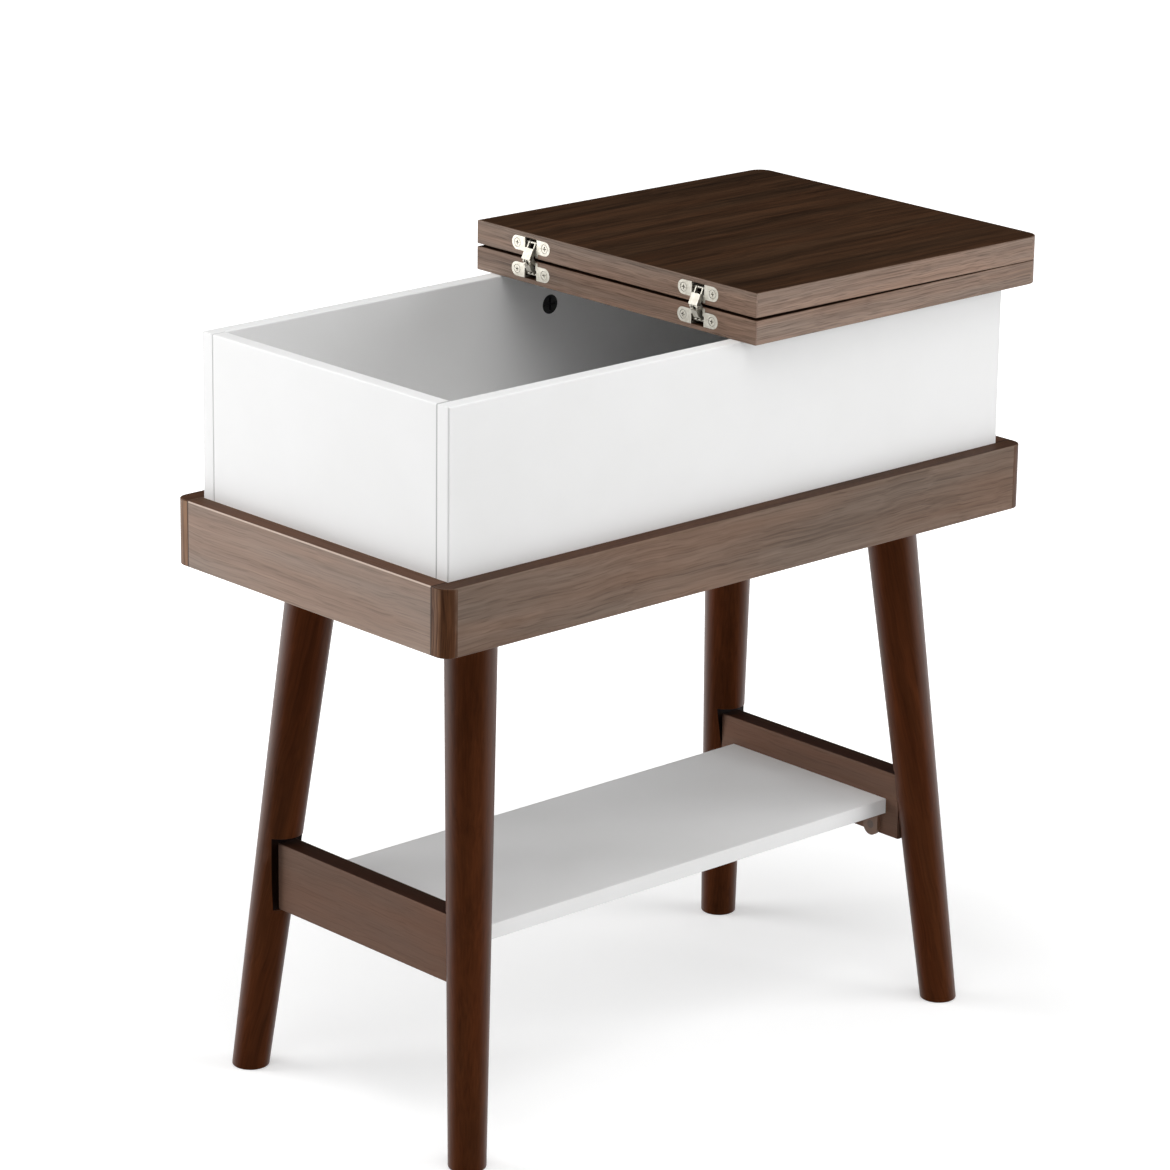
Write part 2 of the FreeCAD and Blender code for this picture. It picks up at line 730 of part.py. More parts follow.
def pieces():
    core, hinge_strip, edge_strip = leaf_pieces()
    found = {
        "front_apron": [long_apron(-1)],
        "back_apron": [long_apron(1)],
        "left_apron": [end_apron(-1)],
        "right_apron": [end_apron(1)],
        "apron_end_bands": apron_end_bands(),
        "apron_screws": apron_screws(),
        "box_front_panel": [long_panel(-1)],
        "box_back_panel": [long_panel(1)],
        "box_left_panel": [end_panel(-1)],
        "box_right_panel": [end_panel(1)],
        "box_floor": [box_floor()],
        "box_floor_screws": floor_screws(),
        "cam_locks": [cam_lock(*place) for place in cam_sets()],
        "cam_bolts": [cam_bolt(*place, 0) for place in cam_sets()],
        "box_dowels": box_dowels(0),
        "fixed_leaf": [bored(core)],
        "fixed_leaf_hinge_strip": [hinge_strip],
        "fixed_leaf_edge_strip": [edge_strip],
        "flip_leaf": [folded(core)],
        "flip_leaf_hinge_strip": [folded(hinge_strip)],
        "flip_leaf_edge_strip": [folded(edge_strip)],
        "left_stretcher": [stretcher(-1)],
        "right_stretcher": [stretcher(1)],
        "stretcher_dowels": [d for sx, sy in corners for d in stretcher_dowels(sx, sy, 0)],
        "lower_shelf": [shelf()],
        "shelf_brackets": [bracket(*place) for place in bracket_places()],
        "shelf_bracket_screws": bracket_screws(),
        "leg_plates": [leg_plate(sx, sy) for sx, sy in corners],
        "leg_plate_screws": leg_plate_screws(),
        "leg_hanger_bolts": [hanger_bolt(sx, sy, 0) for sx, sy in corners],
    }
    for sx, end in ((-1, "left"), (1, "right")):
        for sy, side in ((-1, "front"), (1, "back")):
            found[f"{side}_{end}_leg"] = [leg(sx, sy)]
    for place, y in hinge_places.items():
        found[f"{place}_fixed_hinge_cup"] = [at_hinge(hinge_cup(), y)]
        found[f"{place}_flip_hinge_cup"] = [folded(at_hinge(hinge_cup(), y))]
        found[f"{place}_lower_hinge_arm"] = [at_hinge(lower_arm(), y)]
        found[f"{place}_upper_hinge_arm"] = [at_hinge(upper_arm(), y)]
    ys = list(hinge_places.values())
    screws = [at_hinge(s, y) for y in ys for s in cross_head_screws()]
    pins = [at_hinge(cross_pin(pivot, pin_d, cup_reach), y) for y in ys]
    slide_reach = cup_reach - fit_play
    found["fixed_hinge_screws"] = screws
    found["flip_hinge_screws"] = [folded(s) for s in screws]
    found["fixed_hinge_pins"] = pins
    found["flip_hinge_pins"] = [folded(p) for p in pins]
    found["hinge_knee_rivets"] = [at_hinge(knee_rivet(), y) for y in ys]
    found["lower_arm_slide_pins"] = [at_hinge(cross_pin(lower_slide, pin_d, slide_reach), y) for y in ys]
    found["upper_arm_slide_pins"] = [at_hinge(cross_pin(slide, pin_d, slide_reach), y) for y in ys]
    return found


def main():
    os.makedirs("parts", exist_ok=True)
    for name, solids in pieces().items():
        shape = solids[0] if len(solids) == 1 else Part.makeCompound(solids)
        shape.translated(X * footprint_shift).exportStep(f"parts/{name}.step")
    print("fold axis x, z", footprint_shift, axis_z, "fold angle", fold_angle)
    print("lower pivot x, z", pivot[0] + footprint_shift, pivot[1] + axis_z)
    print("upper pivot x, z", upper_pivot[0] + footprint_shift, upper_pivot[1] + axis_z)
    print("arm ratio", arm_ratio, "arm swing", arm_swing)


main()
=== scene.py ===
import math

import bpy
from bpy.props import FloatProperty, FloatVectorProperty, PointerProperty
from mathutils import Matrix, Vector


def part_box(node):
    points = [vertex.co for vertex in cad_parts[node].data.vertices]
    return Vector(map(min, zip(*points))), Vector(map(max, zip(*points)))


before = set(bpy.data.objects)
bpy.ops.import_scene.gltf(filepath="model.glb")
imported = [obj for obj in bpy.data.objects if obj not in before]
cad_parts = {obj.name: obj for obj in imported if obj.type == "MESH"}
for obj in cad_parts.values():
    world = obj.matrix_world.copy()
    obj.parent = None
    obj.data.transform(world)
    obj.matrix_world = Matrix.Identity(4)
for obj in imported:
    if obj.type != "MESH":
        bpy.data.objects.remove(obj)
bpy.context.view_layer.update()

bl_info = {
    "name": "Flip-top end table",
    "version": (1, 0, 0),
    "blender": (4, 5, 0),
    "location": "View3D > Sidebar > Table",
    "description": "Finishes a flip-top end table and sets it on a pale floor",
    "category": "Object",
}

# Turns that lay the grain along one axis of the table
ALONG_X = (0.0, 0.0, 0.0)
ALONG_Y = (0.0, 0.0, -math.pi / 2)
ALONG_Z = (0.0, math.pi / 2, 0.0)

WHITE = (1.0, 1.0, 1.0, 1.0)
UPWARDS = (0.0, 0.0, 1.0)
SQUARE_ON = (0.90, 0.99)            # how squarely a face looks along an axis before it counts as facing it
MIDDLE = (0.3, 0.7)                 # the part of a noise's range that is used

# Wood grain, in waves per metre or as shares of the streaks' pitch, along and across the grain
SLOW_SWAY = (4.0, 9.0, 9.0)
QUICK_SWAY = (28.0, 12.0, 12.0)
BAND_PITCH = (0.4, 0.3)
FIBRE_PITCH = (2.0, 4.0)
FIBRE_TONE = 1.2                    # weight of the fibres in the tone, against the bands and the streaks
FIBRE_RELIEF = 0.3
PORE_OPEN = (0.52, 0.72)            # noise between which a pore opens
PORE_ROUGH = 0.15
STREAK_ROUGH = 0.16
BLUSH_PITCH = (5.0, 40.0, 40.0)
BLUSH_SPAN = (0.35, 0.65)
WARM = (1.07, 0.98, 0.93, 1.0)
COOL = (0.96, 1.0, 1.03, 1.0)
GRAIN_BUMP = 0.5

# Eased edges
EDGE_TURN = (0.995, 0.80)           # cosine of the rounded normal's turn, where an edge starts and is full
# Patches that break up the painted highlights and painted shade laid along the edges
EDGE_PATCH_PITCH = (90.0, 90.0, 90.0)
EDGE_PATCH_SPAN = (0.30, 0.62)
EDGE_PATCH_LEAST = 0.35

# Lines on the boards, in metres short of the seam or of the top edge, where each starts and is full: a dark
# line at the seam, and a painted highlight along the top edge
SEAM_LINE = (0.0013, 0.0007)
RIM_HIGHLIGHT = (0.0012, 0.0008)

# Notches of the legs, in metres
NOTCH_ABOVE = 0.005                 # top of the notch above the stretcher
NOTCH_BLUR = 0.0005
NOTCH_DEPTH = (0.0008, 0.0004)      # off the flat, where the painted shade starts and is full

# Coats
SATIN_ROUGH = 0.45
LACQUER_ROUGH = 0.40
LACQUER_SPAN = (0.19, 0.50)         # turn towards the side of a leg, where the coat starts and is full
LACQUER_WEIGHT = 0.60

# White laminate
LAMINATE_PITCH = 1400.0
LAMINATE_CLOUD = 9.0
LAMINATE_DIM = (0.955, 0.955, 0.95)
LAMINATE_EDGE = 0.0008
# A faint grey along the edges of each board.
LAMINATE_EDGE_GREY = (0.70, 0.69, 0.67)
LAMINATE_EDGE_SHARE = 0.08
LAMINATE_SEAM = (0.30, 0.30, 0.30)
LAMINATE_SEAM_SHARE = 0.7
LAMINATE_ROUGH = (0.42, 0.52)
LAMINATE_SPECULAR = 0.4
LAMINATE_RELIEF, LAMINATE_BUMP = 0.00005, 0.4

# Plated metal
PLATE_CLOUD = 0.05
PLATE_DULL = (0.82, 0.80, 0.76)
PLATE_EDGE = 0.0004
# Painted shade: how dark, and how strongly, the edges, rings and recesses of the plates are darkened.
PLATE_SHADE, PLATE_SHADE_SHARE = 0.25, 0.8
PLATE_ROUGH = (-0.05, 0.07)         # how far the roughness swings
PLATE_RELIEF, PLATE_BUMP = 0.00003, 0.25

# Moulded and coated surfaces
MOULD_CLOUD = 60.0
MOULD_DIM = 0.7
MOULD_EDGE = 0.0005
MOULD_EDGE_SHARE = 0.4
MOULD_ROUGH = (-0.06, 0.06)
MOULD_RELIEF, MOULD_BUMP = 0.0001, 0.4

# Stage, in metres
FLOOR_SIZE = 16.0
FLOOR_PITCH, FLOOR_CLOUD = 300.0, 2.0
FLOOR_DIM = 0.99
FLOOR_ROUGH, FLOOR_SPECULAR = 0.9, 0.1
FLOOR_RISE_SPAN = (0.35, 1.2)       # distance from the middle, where the added white starts and is full
LAMPS = (("left_lamp", (-1.7, 2.0, 1.0), 1.9, "left_power"),
         ("right_lamp", (2.5, -2.9, 1.1), 2.5, "right_power"),
         ("top_lamp", (-0.6, -0.6, 2.6), 2.2, "top_power"))
LAMP_AIM = (0.0, 0.0, 0.4)
SKY_SPAN = (0.2, 0.8)
SKY_LOW = 0.1                       # the horizon's share of the light overhead
SENSOR = 36.0                       # width of the camera's sensor in millimetres


def colour(name, text, value):
    """A colour that a user would change."""
    return FloatVectorProperty(name=name, description=text, default=value, subtype="COLOR", size=3,
                               min=0.0, max=1.0)


def length(name, text, value):
    """A length in metres."""
    return FloatProperty(name=name, description=text, default=value, unit="LENGTH", precision=5)


def amount(name, text, value, most):
    """A plain number from nought upwards."""
    return FloatProperty(name=name, description=text, default=value, min=0.0, max=most)


def angle(name, text, degrees):
    """An angle, shown in degrees."""
    return FloatProperty(name=name, description=text, default=math.radians(degrees), subtype="ANGLE")


class TableColours(bpy.types.PropertyGroup):
    """Colours of the wood, laminate and metal."""
    top_light: colour("Top, light grain", "Lighter streaks of the leaf faces", (0.062, 0.031, 0.016))
    top_dark: colour("Top, dark grain", "Darker streaks of the leaf faces", (0.014, 0.007, 0.0035))
    # Painted light: the end aprons' colours are a lighter copy of the long aprons', standing in for the sheen
    # that the end faces catch from the lamp on the left.
    end_light: colour("End apron, light grain", "Lighter streaks of the end aprons", (0.300, 0.224, 0.178))
    end_dark: colour("End apron, dark grain", "Darker streaks of the end aprons", (0.184, 0.131, 0.101))
    long_light: colour("Long apron, light grain", "Lighter streaks of the long aprons", (0.226, 0.160, 0.122))
    long_dark: colour("Long apron, dark grain", "Darker streaks of the long aprons", (0.110, 0.074, 0.054))
    edging_light: colour("Edging, light grain", "Lighter streaks of the leaf edges", (0.285, 0.197, 0.147))
    edging_dark: colour("Edging, dark grain", "Darker streaks of the leaf edges", (0.105, 0.066, 0.046))
    # Painted highlight: the light line along the edges and the top edge of the end aprons.
    edge_highlight: colour("End apron, edge line", "Line along the edges of the end aprons", (0.52, 0.41, 0.34))
    corner_light: colour("Corner, light grain", "Lighter streaks of the round corners", (0.105, 0.045, 0.021))
    corner_dark: colour("Corner, dark grain", "Darker streaks of the round corners", (0.026, 0.010, 0.005))
    stain_light: colour("Stain, light grain", "Lighter streaks of the legs", (0.096, 0.029, 0.010))
    stain_dark: colour("Stain, dark grain", "Darker streaks of the legs", (0.026, 0.008, 0.003))
    # Painted shade: the seats milled in the legs are darkened to near black, as shade falls in them.
    notch: colour("Notches", "Stain pooled in the notches of the legs", (0.006, 0.002, 0.001))
    # Painted sheen: the stretchers' colours are lighter than the legs' stain, standing in for the lamps' sheen
    # on their upright faces.
    bar_light: colour("Stretchers, light grain", "Lighter streaks of the stretchers", (0.152, 0.090, 0.064))
    bar_dark: colour("Stretchers, dark grain", "Darker streaks of the stretchers", (0.110, 0.063, 0.044))
    pore: colour("Pores", "Open pores in the grain", (0.014, 0.007, 0.005))
    laminate: colour("Laminate", "White laminate of the box and shelf", (0.83, 0.83, 0.83))
    nickel: colour("Nickel", "Plating of the hinges", (0.62, 0.60, 0.54))
    zinc: colour("Zinc", "Plating of the screws and bolts", (0.60, 0.61, 0.63))
    black: colour("Black coating", "Coating of the cams and leg plates", (0.012, 0.012, 0.012))
    beech: colour("Beech", "Raw wood of the dowels", (0.60, 0.43, 0.26))
    browned: colour("Browned steel", "Screws of the shelf brackets", (0.100, 0.052, 0.032))
    plastic: colour("Brown plastic", "Moulded brackets under the shelf", (0.180, 0.094, 0.056))


class TableGrain(bpy.types.PropertyGroup):
    """Sizes of the grain and of the worn edges."""
    streak: length("Streak width", "Width of a streak of grain", 0.006)
    streak_run: length("Streak length", "Length of a streak of grain", 0.16)
    ripple: length("Ripple", "How far a line of grain wanders from side to side", 0.004)
    pore_width: length("Pore width", "Width of an open pore", 0.0010)
    pore_run: length("Pore length", "Length of an open pore", 0.048)
    relief: length("Grain depth", "Depth of the pores", 0.0002)
    # The lighter line along an edge is a painted highlight.
    edge: length("Eased edge", "Reach of the lighter line along an edge", 0.0012)


class TableStudio(bpy.types.PropertyGroup):
    """Camera, lamps and floor."""
    azimuth: angle("Azimuth", "Camera's turn round the table", -42.71)
    elevation: angle("Elevation", "Camera's height angle", 17.40)
    roll: angle("Roll", "Camera's tilt about its own axis", 0.75)
    distance: length("Distance", "From the camera to its aim", 3.5986)
    lens: amount("Lens", "Focal length in millimetres on a 36 mm sensor", 147.55, 500.0)
    aim: FloatVectorProperty(name="Aim", description="Point in the middle of the view", subtype="XYZ",
                             unit="LENGTH", default=(-0.0061, 0.0235, 0.3526))
    left_power: amount("Left lamp", "Watts of the soft lamp behind on the left", 57.0, 2000.0)
    right_power: amount("Right lamp", "Watts of the soft lamp in front on the right", 94.0, 2000.0)
    top_power: amount("Top lamp", "Watts of the soft lamp overhead", 41.0, 2000.0)
    sky: amount("Sky", "Strength of the light from all over the ceiling", 0.36, 10.0)
    floor: colour("Floor", "Pale floor", (0.80, 0.80, 0.80))
    floor_glow: amount("Floor glow", "White that the floor shows beyond its lit colour", 0.33, 10.0)
    floor_rise: amount("Floor rise", "White added to that far from the table", 0.60, 10.0)


def put(tree, kind, feeds=None, **settings):
    """Adds a node, sets it, and feeds its inputs with values or with other sockets."""
    made = tree.nodes.new(kind)
    for name, value in settings.items():
        setattr(made, name, value)
    for name, value in (feeds or {}).items():
        if isinstance(value, bpy.types.NodeSocket):
            tree.links.new(value, made.inputs[name])
        else:
            made.inputs[name].default_value = value
    return made


def math_of(tree, operation, *values):
    """One step of arithmetic."""
    return put(tree, "ShaderNodeMath", dict(enumerate(values)), operation=operation).outputs[0]


def vector_math(tree, operation, *vectors):
    """One step of arithmetic on vectors; gives the node."""
    return put(tree, "ShaderNodeVectorMath", dict(enumerate(vectors)), operation=operation)


def scaled(tree, vector, factors):
    """The vector with each part multiplied by its own factor."""
    return vector_math(tree, "MULTIPLY", vector, factors).outputs[0]


def parts_of(tree, vector):
    """The X, Y and Z of a vector."""
    return put(tree, "ShaderNodeSeparateXYZ", {0: vector}).outputs


def noise(tree, vector, detail, roughness=0.5):
    """Soft noise, about nought to one."""
    feeds = {"Vector": vector, "Scale": 1.0, "Detail": detail, "Roughness": roughness}
    return put(tree, "ShaderNodeTexNoise", feeds).outputs["Fac"]


def ranged(tree, value, low, high, bottom=0.0, top=1.0):
    """The value stretched from one range to another, and held to it."""
    feeds = {"Value": value, "From Min": low, "From Max": high, "To Min": bottom, "To Max": top}
    return put(tree, "ShaderNodeMapRange", feeds, clamp=True).outputs["Result"]


def mixed(tree, share, first, second, blend="MIX"):
    """Two colours mixed."""
    feeds = {0: share, 6: first, 7: second}
    return put(tree, "ShaderNodeMix", feeds, data_type="RGBA", blend_type=blend, clamp_factor=True).outputs[2]


def rgba(value):
    """A colour with its alpha."""
    return (*value, 1.0)


def tinted(base, factors):
    """A colour with each part times its own factor."""
    return tuple(part * factor for part, factor in zip(base, factors))


def dimmed(base, factor):
    """A colour with every part times one factor."""
    return tuple(part * factor for part in base)


def new_group(name, inputs, outputs):
    """An empty node group with its sockets; gives the tree, its inputs and its outputs."""
    tree = bpy.data.node_groups.new(name, "ShaderNodeTree")
    for in_out, sockets in (("INPUT", inputs), ("OUTPUT", outputs)):
        for label, kind in sockets:
            tree.interface.new_socket(name=label, in_out=in_out, socket_type="NodeSocket" + kind)
    return tree, tree.nodes.new("NodeGroupInput").outputs, tree.nodes.new("NodeGroupOutput")


def placed_group(tree, name, maker, feeds):
    """A shared node group, built the first time that it is asked for, placed in a material."""
    group = bpy.data.node_groups.get(name) or maker(name)
    return put(tree, "ShaderNodeGroup", feeds, node_tree=group).outputs


def wood_grain_group(name):
    """Grain that runs along the first part of the vector: bands, streaks, fibres and open pores."""
    grain = bpy.context.scene.table_grain
    tree, given, result = new_group(
        name,
        [("Vector", "Vector"), ("Light", "Color"), ("Dark", "Color"), ("Pore", "Color"),
         ("Contrast", "Float"), ("Pores", "Float"), ("Roughness", "Float")],
        [("Color", "Color"), ("Roughness", "Float"), ("Height", "Float")])
    across, along = 1.0 / grain.streak, 1.0 / grain.streak_run
    fine, short = 1.0 / grain.pore_width, 1.0 / grain.pore_run
    place = given["Vector"]
    for pitch, swing in ((SLOW_SWAY, grain.streak * 2), (QUICK_SWAY, grain.ripple)):
        feeds = {"Vector": scaled(tree, given["Vector"], pitch), "Scale": 1.0, "Detail": 1.0}
        drift = put(tree, "ShaderNodeTexNoise", feeds).outputs["Color"]
        place = vector_math(tree, "ADD", place, scaled(tree, drift, (0.0, swing, swing))).outputs[0]

    def figure(run, pitch, detail, roughness=0.5):
        return noise(tree, scaled(tree, place, (run, pitch, pitch)), detail, roughness)

    bands = figure(along * BAND_PITCH[0], across * BAND_PITCH[1], 2.0)
    streaks = figure(along, across, 2.0)
    fibres = figure(along * FIBRE_PITCH[0], across * FIBRE_PITCH[1], 2.0, 0.6)
    pores = ranged(tree, figure(short, fine, 1.0), *PORE_OPEN)
    blushes = noise(tree, scaled(tree, given["Vector"], BLUSH_PITCH), 2.0)

    tone = math_of(tree, "MULTIPLY_ADD", fibres, FIBRE_TONE, math_of(tree, "ADD", bands, streaks))
    off_middle = math_of(tree, "SUBTRACT", tone, 1.0 + FIBRE_TONE / 2)
    tone = math_of(tree, "MULTIPLY_ADD", off_middle, given["Contrast"], 0.5)
    plain = mixed(tree, tone, given["Dark"], given["Light"])
    warm = mixed(tree, 1.0, plain, WARM, "MULTIPLY")
    cool = mixed(tree, 1.0, plain, COOL, "MULTIPLY")
    toned = mixed(tree, ranged(tree, blushes, *BLUSH_SPAN), cool, warm)
    open_pores = math_of(tree, "MULTIPLY", pores, given["Pores"])
    tree.links.new(mixed(tree, open_pores, toned, given["Pore"]), result.inputs["Color"])
    swing = math_of(tree, "SUBTRACT", streaks, 0.5)
    rough = math_of(tree, "MULTIPLY_ADD", swing, STREAK_ROUGH, given["Roughness"])
    tree.links.new(math_of(tree, "MULTIPLY_ADD", open_pores, PORE_ROUGH, rough), result.inputs["Roughness"])
    height = math_of(tree, "MULTIPLY_ADD", fibres, FIBRE_RELIEF, 1.0 - FIBRE_RELIEF)
    tree.links.new(math_of(tree, "SUBTRACT", height, open_pores), result.inputs["Height"])
    return tree


def eased_edge_group(name):
    """A mask that rises along the edges of a piece, broken up in patches. It carries the painted highlight
    along wood edges, the painted shade along plated edges, the lighter edges of the moulded finishes and the
    grey edges of the laminate.
    """
    tree, given, result = new_group(name, [("Vector", "Vector"), ("Reach", "Float")], [("Mask", "Float")])
    rounded = put(tree, "ShaderNodeBevel", {"Radius": given["Reach"]}, samples=4).outputs["Normal"]
    normal = put(tree, "ShaderNodeNewGeometry").outputs["Normal"]
    edge = ranged(tree, vector_math(tree, "DOT_PRODUCT", rounded, normal).outputs["Value"], *EDGE_TURN)
    patches = noise(tree, scaled(tree, given["Vector"], EDGE_PATCH_PITCH), 3.0)
    edge_patches = ranged(tree, patches, *EDGE_PATCH_SPAN, EDGE_PATCH_LEAST, 1.0)
    tree.links.new(math_of(tree, "MULTIPLY", edge, edge_patches), result.inputs["Mask"])
    return tree


def fine_surface_group(name):
    """Fine texture of a pressed, moulded or plated surface: a slow cloud and a small relief."""
    tree, given, result = new_group(
        name, [("Vector", "Vector"), ("Pitch", "Float"), ("Cloud", "Float")],
        [("Cloud", "Float"), ("Height", "Float")])
    for pitch, detail, label in (("Cloud", 3.0, "Cloud"), ("Pitch", 2.0, "Height")):
        feeds = {"Vector": given["Vector"], "Scale": given[pitch], "Detail": detail}
        tree.links.new(put(tree, "ShaderNodeTexNoise", feeds).outputs["Fac"], result.inputs[label])
    return tree


def edge_share(tree, place, reach, most):
    """How far the edges of a piece take another colour."""
    edge = placed_group(tree, "Eased edge", eased_edge_group, {"Vector": place, "Reach": reach})
    return math_of(tree, "MULTIPLY", edge["Mask"], most)


def fine_surface(tree, vector, pitch, cloud):
    """The cloud and the height of a fine surface."""
    feeds = {"Vector": vector, "Pitch": pitch, "Cloud": cloud}
    surface = placed_group(tree, "Fine surface", fine_surface_group, feeds)
    return surface["Cloud"], surface["Height"]


def new_material(name):
    """An empty material; gives it with its tree, its shader and its Object coordinates."""
    material = bpy.data.materials.new(name)
    material.use_nodes = True
    tree = material.node_tree
    tree.nodes.clear()
    shader = put(tree, "ShaderNodeBsdfPrincipled")
    put(tree, "ShaderNodeOutputMaterial", {"Surface": shader.outputs[0]})
    return material, tree, shader, put(tree, "ShaderNodeTexCoord").outputs["Object"]


def bumped(tree, shader, height, depth, strength):
    """Feeds a height into the shader's normal."""
    bump = put(tree, "ShaderNodeBump", {"Height": height, "Distance": depth, "Strength": strength})
    tree.links.new(bump.outputs[0], shader.inputs["Normal"])


def facing_share(tree, axis):
    """How squarely a face of the piece looks along one axis, either way."""
    normal = put(tree, "ShaderNodeTexCoord").outputs["Normal"]
    return math_of(tree, "ABSOLUTE", parts_of(tree, normal)[axis])


def seam_share(tree, place, reach):
    """A mask that rises in the last millimetre before a seam, at one distance from the middle along Y."""
    across = math_of(tree, "ABSOLUTE", parts_of(tree, place)["Y"])
    return ranged(tree, across, *(reach - short for short in SEAM_LINE))


def wood(name, vector_of, light, dark, *, contrast, pores, rough, specular, head_on=1.0, edge, edge_most,
         faces=(), seam=None, rim=None, satin=0.0):
    """A wood finish: grain along its own direction, a line along the edges, and some faces in another tone.

    Head on is how much of the specular level shows there. Edge is the colour of the edges, and edge_most how
    far they take it; a lighter edge colour is a painted highlight, a darker one draws dark lines. Each of the
    faces is a pair, the axis that it faces along and the factors of its tone, which is painted light or shade:
    lighter where an upright face would catch the lamps' sheen, darker on tops. Seam is how far from the
    middle, along Y, a dark line runs where the next board meets this one. Rim is the height of the top edge,
    where the colour of the edges shows again as a thin painted highlight. Satin is the weight of a coat on the
    upright faces.
    """
    table = bpy.context.scene.table_colours
    grain = bpy.context.scene.table_grain
    material, tree, shader, place = new_material(name)
    figure = placed_group(tree, "Wood grain", wood_grain_group, {
        "Vector": vector_of(tree, place), "Light": rgba(light), "Dark": rgba(dark), "Pore": rgba(table.pore),
        "Contrast": contrast, "Pores": pores, "Roughness": rough})
    base = figure["Color"]
    # Painted light and shade: faces along an axis take another tone, lighter where an upright face would catch
    # the lamps' sheen, darker on tops that miss it.
    for axis, tone in faces:
        toned = mixed(tree, 1.0, base, rgba(tone), "MULTIPLY")
        base = mixed(tree, ranged(tree, facing_share(tree, axis), *SQUARE_ON), base, toned)
    # Painted highlight along the eased edges where the edge colour is lighter than the grain; a darker edge
    # colour draws dark lines there.
    base = mixed(tree, edge_share(tree, place, grain.edge, edge_most), base, rgba(edge))
    flat = ranged(tree, facing_share(tree, "Z"), *SQUARE_ON)
    if rim:
        # Painted highlight: a thin light line along the top edge of the upright faces.
        upright = math_of(tree, "SUBTRACT", 1.0, flat)
        near_top = ranged(tree, parts_of(tree, place)["Z"], *(rim - short for short in RIM_HIGHLIGHT))
        base = mixed(tree, math_of(tree, "MULTIPLY", near_top, upright), base, rgba(edge))
    if satin:
        tree.links.new(ranged(tree, flat, 0.0, 1.0, satin, 0.0), shader.inputs["Coat Weight"])
        shader.inputs["Coat Roughness"].default_value = SATIN_ROUGH
    if seam:
        base = mixed(tree, seam_share(tree, place, seam), base, rgba(table.corner_dark))
    tree.links.new(base, shader.inputs["Base Color"])
    tree.links.new(figure["Roughness"], shader.inputs["Roughness"])
    shader.inputs["Specular IOR Level"].default_value = specular
    shader.inputs["Specular Tint"].default_value = (head_on, head_on, head_on, 1.0)
    bumped(tree, shader, figure["Height"], grain.relief, GRAIN_BUMP)
    return material


def shader_of(material):
    """The tree and the shader of a finished material."""
    tree = material.node_tree
    return tree, next(made for made in tree.nodes if made.type == "BSDF_PRINCIPLED")


def paint_notch_shade(material, stretcher, dark):
    """Painted shade laid on the flat seat milled in a leg, where the end of a stretcher sits and shade falls.
    """
    tree, shader = shader_of(material)
    low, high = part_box(stretcher)
    parts = parts_of(tree, put(tree, "ShaderNodeTexCoord").outputs["Object"])
    across = math_of(tree, "ABSOLUTE", parts["Y"])
    off_flat = math_of(tree, "ABSOLUTE", math_of(tree, "SUBTRACT", across, high[1]))
    top = high[2] + NOTCH_ABOVE
    above = ranged(tree, parts["Z"], low[2], low[2] + NOTCH_BLUR)
    below = ranged(tree, parts["Z"], top + NOTCH_BLUR, top - NOTCH_BLUR)
    in_height = math_of(tree, "MULTIPLY", above, below)
    # Painted shade: darkens the flat seat and the leg just above the stretcher.
    shaded = math_of(tree, "MULTIPLY", ranged(tree, off_flat, *NOTCH_DEPTH), in_height)
    plain = shader.inputs["Base Color"].links[0].from_socket
    tree.links.new(mixed(tree, shaded, plain, rgba(dark)), shader.inputs["Base Color"])


def lacquer(material):
    """A satin coat that shows towards the sides of a round upright piece, and hardly from above."""
    tree, shader = shader_of(material)
    normal = put(tree, "ShaderNodeNewGeometry").outputs["Normal"]
    raised = vector_math(tree, "ADD", normal, UPWARDS).outputs[0]
    tilted = vector_math(tree, "NORMALIZE", raised).outputs[0]
    side = put(tree, "ShaderNodeLayerWeight", {"Blend": 0.5, "Normal": tilted}).outputs["Facing"]
    tree.links.new(ranged(tree, side, *LACQUER_SPAN, 0.0, LACQUER_WEIGHT), shader.inputs["Coat Weight"])
    shader.inputs["Coat Roughness"].default_value = LACQUER_ROUGH


def turned(turn):
    """Grain turned to run along one axis of the table."""
    def vector_of(tree, place):
        return put(tree, "ShaderNodeMapping", {"Vector": place, "Rotation": turn}).outputs[0]
    return vector_of


def finer(vector_of, times):
    """The same grain with its lines closer together."""
    def closer(tree, place):
        return scaled(tree, vector_of(tree, place), (1.0, times, times))
    return closer


def along_line(line):
    """Grain that follows a leaning piece."""
    return turned(tuple(Vector(line).rotation_difference(Vector((1.0, 0.0, 0.0))).to_euler()))


def round_the_sides(tree, place):
    """Grain that runs along each side in turn, for a strip that wraps round a leaf."""
    on_end = math_of(tree, "GREATER_THAN", facing_share(tree, "X"), facing_share(tree, "Y"))
    parts = parts_of(tree, place)
    swapped = put(tree, "ShaderNodeCombineXYZ", {0: parts["Y"], 1: parts["X"], 2: parts["Z"]}).outputs[0]
    return put(tree, "ShaderNodeMix", {0: on_end, 4: place, 5: swapped}, data_type="VECTOR").outputs[1]


